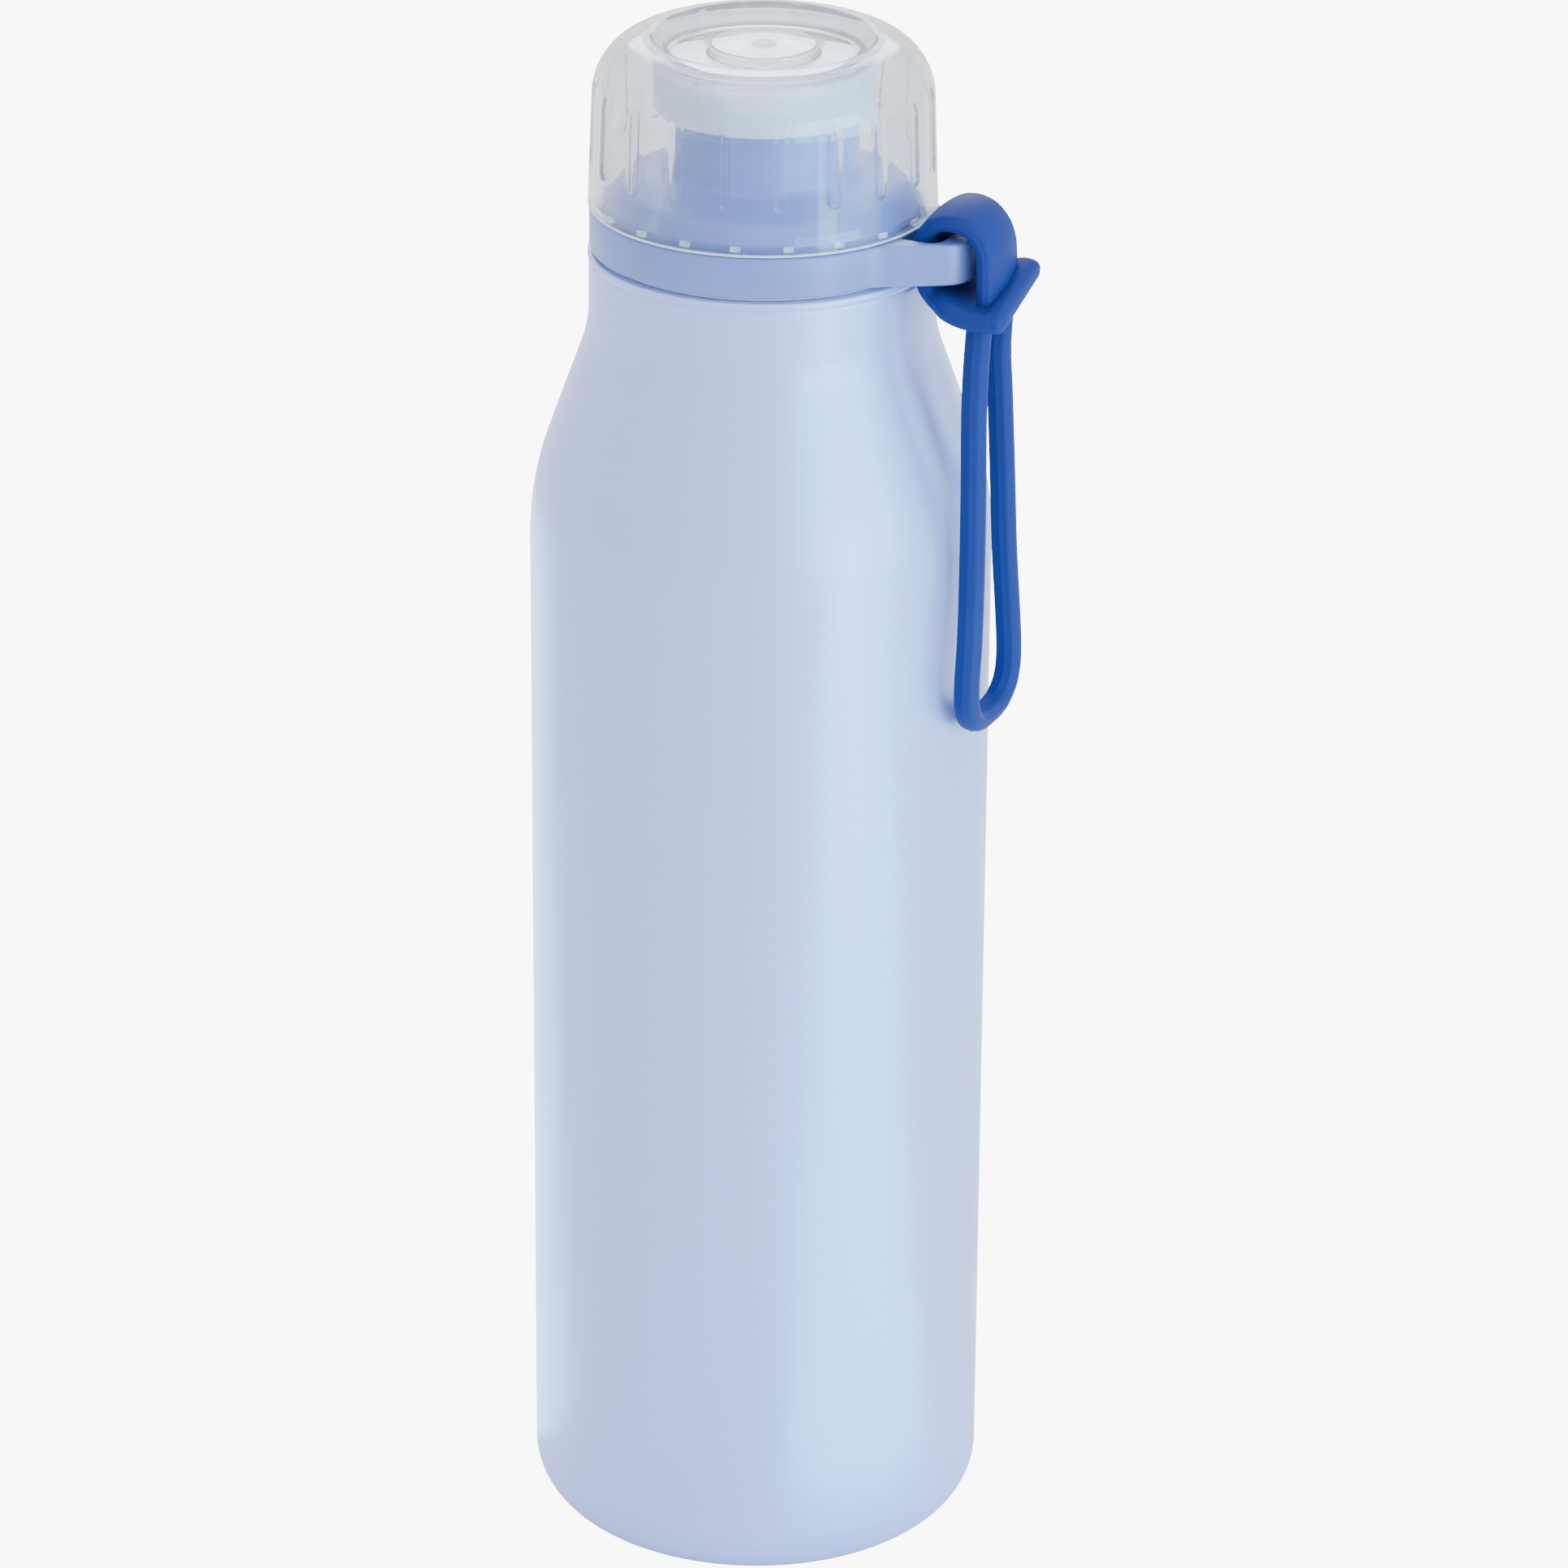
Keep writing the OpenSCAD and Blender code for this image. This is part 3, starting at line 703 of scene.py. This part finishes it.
def flowing(rows, steps):
    """A smooth run of rows through the given ones; a row is any count of numbers."""
    rows = [Vector(row) for row in rows]
    last = len(rows) - 1
    run = []
    for i in range(last):
        a, b, c, d = rows[max(i - 1, 0)], rows[i], rows[i + 1], rows[min(i + 2, last)]
        for k in range(steps):
            t = k / steps
            run.append(0.5 * (2 * b + (c - a) * t + (2 * a - 5 * b + 4 * c - d) * t * t
                              + (3 * b - a - 3 * c + d) * t ** 3))
    run.append(rows[last])
    return run


def strap_section(width, thick, crown_out, crown_in, corner, ridge):
    """A rounded section with crowned faces and a fine parting ridge on the middle of each edge."""
    half_w, half_t = width / 2, thick / 2
    corner = min(corner, half_t * 0.95)
    points = []
    for side in (1, -1):
        for v, bump in ((-0.26, 0), (-0.14, 0.7), (0, 1.0), (0.14, 0.7), (0.26, 0)):
            points.append((side * (half_w + bump * ridge), side * v * min(1, half_t)))
        for k in range(1, 6):
            a = math.radians(90 * k / 5)
            x = half_w - corner + corner * math.cos(a)
            y = half_t - corner + corner * math.sin(a)
            points.append((side * x, side * y))
        for k in range(1, 8):
            x = (half_w - corner) * (1 - k / 4)
            swell = 1 - (x / (half_w - corner)) ** 2
            points.append((side * x, side * (half_t + (crown_out if side > 0 else crown_in) * swell)))
        for k in range(5):
            a = math.radians(90 - 90 * k / 5)
            x = half_w - corner + corner * math.cos(a)
            y = half_t - corner + corner * math.sin(a)
            points.append((-side * x, side * y))
    return points


def sweep_strap(form, route, sides, sections):
    """Carries sections along a route of points; each side is the direction its section's width keeps to."""
    rings = []
    last = len(route) - 1
    for i, here in enumerate(route):
        way = (route[min(i + 1, last)] - route[max(i - 1, 0)]).normalized()
        out_way = way.cross(sides[i]).normalized()
        across = out_way.cross(way).normalized()
        rings.append([form.verts.new((here + across * x + out_way * y) * mm) for x, y in sections[i]])
    for a, b in zip(rings, rings[1:]):
        for j in range(len(a)):
            k = (j + 1) % len(a)
            form.faces.new((a[j], b[j], b[k], a[k]))
    form.faces.new(rings[0])
    form.faces.new(list(reversed(rings[-1])))


# The band's rows: x, z, width, thickness, lean across, crown of the outer face, crown of the inner face.
eye_plate = [(44.1, 216.2, 12.6, 0.9, 0.36, 0, 0), (43.95, 216.2, 14.6, 2.0, 0.36, 0, 0.1),
             (43.5, 216.2, 16.0, 2.9, 0.36, 0, 0.2), (42.8, 216.15, 16.7, 3.5, 0.36, 0, 0.25),
             (41.6, 216.0, 17.0, 3.8, 0.36, 0, 0.0), (40.4, 215.7, 17.2, 3.8, 0.33, 0, -0.9),
             (37.2, 215.1, 17.0, 3.8, 0.19, 0, -0.9), (34.2, 215.0, 16.0, 3.7, 0.08, 0, -0.3),
             (32.4, 215.3, 13.2, 3.6, 0.05, 0, 0.1), (31.0, 215.8, 11.2, 3.3, 0.04, 0, 0),
             (29.9, 216.9, 10.9, 3.0, 0.02, 0, 0), (29.1, 218.6, 10.8, 2.7, 0, 0, 0)]
# The wrap goes round the bar: it rises on top of the bar and lies closer to it on the outer side.
bar_x, bar_z = 34.3, 222.1
wrap = []
for degrees in (195, 180, 160, 140, 120, 105, 90, 75, 60, 40, 20, 0):
    lift = math.sin(math.radians(degrees)) ** 2 if degrees < 180 else 0
    hug = min(1, max(0, (125 - degrees) / 40))
    radius = 5.68 - 0.33 * hug + 0.75 * lift
    crown = 0.4 * min(1, max(0, (170 - degrees) / 50))
    angle = math.radians(degrees)
    wrap.append((bar_x + radius * math.cos(angle), bar_z + radius * math.sin(angle), 11.0, 2.6 + 0.3 * hug,
                 0.11 * lift, crown, 0))
hanging = [(39.75, 219.0, 11.0, 2.9, 0, 0.4, 0), (39.7, 216.0, 10.9, 2.9, 0, 0.4, 0),
           (39.6, 213.6, 10.6, 2.8, 0, 0.3, 0), (39.3, 212.2, 10.2, 3.0, 0, 0.2, 0)]
band = flowing(eye_plate + wrap + hanging, 6)
band_route = [Vector((x, 0, z)) for x, z, *rest in band]
band_sides = [Vector((0, 1, lean)) for x, z, width, thick, lean, *rest in band]
band_sections = [strap_section(width, thick, crown_out, crown_in, max(0.95, thick / 2 - 0.2), 0.16)
                 for x, z, width, thick, lean, crown_out, crown_in in band]
leg = [(38.9, -4.1, 214.6), (38.4, -4.25, 206), (38.5, -5.0, 198), (38.9, -5.6, 185), (39.2, -6.3, 172),
       (39.5, -7.4, 161), (39.5, -8.2, 154), (39.4, -7.6, 149.8), (39.2, -5.4, 147.2), (39.1, -2.7, 146.3)]
loop = flowing(leg + [(39.1, 0, 146.2)] + [(x, -y, z) for x, y, z in reversed(leg)], 8)
leg_section = [(y, x) for x, y in strap_section(3.5, 3.8, 0.1, 0.1, 1.3, 0.12)]

strap_skin = bmesh.new()
sweep_strap(strap_skin, band_route, band_sides, band_sections)
sweep_strap(strap_skin, loop, [Vector((1, 0, 0))] * len(loop), [leg_section] * len(loop))
bmesh.ops.recalc_face_normals(strap_skin, faces=strap_skin.faces)
strap_mesh = bpy.data.meshes.new("hitched_strap")
strap_skin.to_mesh(strap_mesh)
strap_skin.free()
strap_mesh.shade_smooth()
strap_mesh.set_sharp_from_angle(angle=math.radians(60))
strap = put_in_scene("hitched_strap", strap_mesh)
strap.data.materials.append(rubber)
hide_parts("carry_strap")
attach(strap, "strap")
